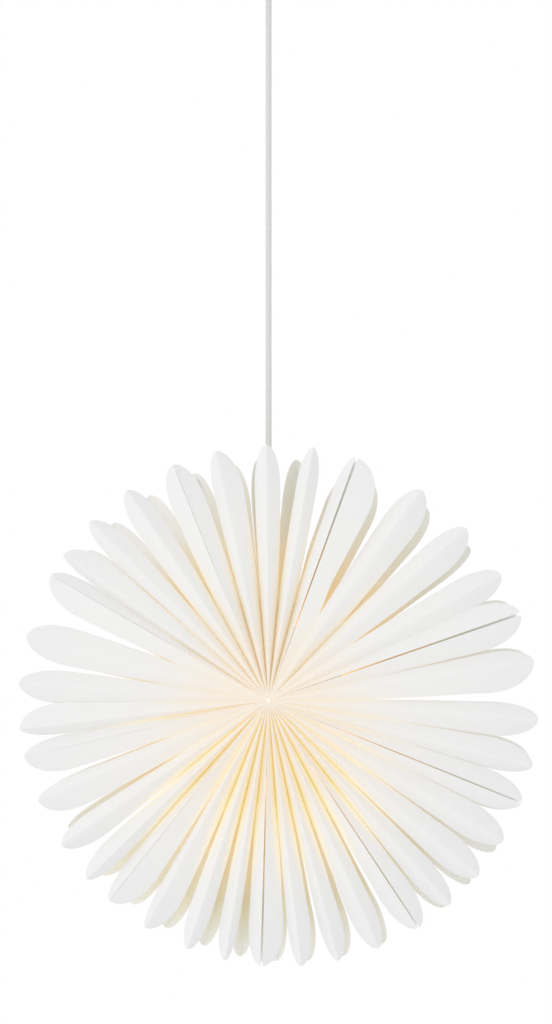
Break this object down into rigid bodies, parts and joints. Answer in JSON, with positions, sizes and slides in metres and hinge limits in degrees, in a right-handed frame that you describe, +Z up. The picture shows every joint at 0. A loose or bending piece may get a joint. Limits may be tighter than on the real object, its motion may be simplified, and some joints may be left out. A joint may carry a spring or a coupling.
{
  "type": "folded paper star pendant lamp",
  "caption": "Pendant lamp: round star of folded white paper petals in a front and a rear rosette round a small bulb, on a straight cord from a ceiling cup.",
  "frame": {"origin": "middle of the bracket's top face, on the ceiling", "axes": "+Z up, towards the ceiling; +Y from the front rosette to the rear one; +X to the right seen from the front"},
  "size_m": [0.4994, 0.1, 1.0269],
  "materials": {
    "paper": "matt white folded paper, lit from inside",
    "white_plastic": "fine satin",
    "cup_plastic": "satin",
    "ceramic": "unglazed white",
    "brass": "stamped",
    "zinc_steel": "bright zinc",
    "nickel": "nickel plate",
    "opal_globe": "opal, glowing warm",
    "cord_textile": "braided textile sleeve",
    "core_brown": "insulation",
    "core_blue": "insulation"
  },
  "bodies": {
    "ceiling": {"ceiling_bracket": "zinc_steel", "cord_clamp": "white_plastic", "clamp_screw_left": "nickel", "clamp_screw_right": "nickel", "terminal_block": "white_plastic", "block_screw": "nickel", "core_brown": "core_brown", "core_blue": "core_blue"},
    "cup": {"ceiling_cup": "cup_plastic", "cup_gland": "white_plastic", "gland_nut": "white_plastic", "gland_screw": "nickel"},
    "lamp": {"cord": "cord_textile", "hanger_wire": "zinc_steel", "holder_nipple": "white_plastic", "nipple_nut": "brass", "holder_cap": "white_plastic", "holder_body": "white_plastic", "holder_core": "ceramic", "thread_sleeve": "brass", "centre_contact": "brass"},
    "bulb_lift": {"bulb_contact": "nickel"},
    "bulb": {"bulb_cap": "nickel", "bulb_neck": "white_plastic", "bulb_globe": "opal_globe"},
    "star": {"front_section_1": "paper", "front_section_2": "paper", "front_section_3": "paper", "front_section_4": "paper", "front_section_5": "paper", "front_section_6": "paper", "front_section_7": "paper", "front_section_8": "paper", "front_section_9": "paper", "rear_section_1": "paper", "rear_section_2": "paper", "rear_section_3": "paper", "rear_section_4": "paper", "rear_section_5": "paper", "rear_section_6": "paper", "rear_section_7": "paper", "rear_section_8": "paper", "rear_section_9": "paper"}
  },
  "joints": [
    {"name": "cup_slide", "type": "slide", "parent": "ceiling", "child": "cup", "axis": [0, 0, 1], "range_m": [-0.4, 0]},
    {"name": "cord_twist", "type": "hinge", "parent": "ceiling", "child": "lamp", "pos_m": [0, 0, -0.017], "axis": [0, 0, 1], "range_deg": [-180, 180], "stiffness_Nm_per_rad": 0.01},
    {"name": "star_tilt", "type": "hinge", "parent": "lamp", "child": "star", "pos_m": [0, 0, -0.6905], "axis": [1, 0, 0], "range_deg": [-6, 6]},
    {"name": "bulb_travel", "type": "slide", "parent": "lamp", "child": "bulb_lift", "axis": [0, 0, 1], "range_m": [-0.00847, 0]},
    {"name": "bulb_turn", "type": "hinge", "parent": "bulb_lift", "child": "bulb", "pos_m": [0, 0, -0.75], "axis": [0, 0, 1], "range_deg": [-1083, 0]}
  ],
  "couplings": [
    {"joint": "bulb_turn", "follows": "bulb_travel", "rad_per_m": 2226.5}
  ]
}
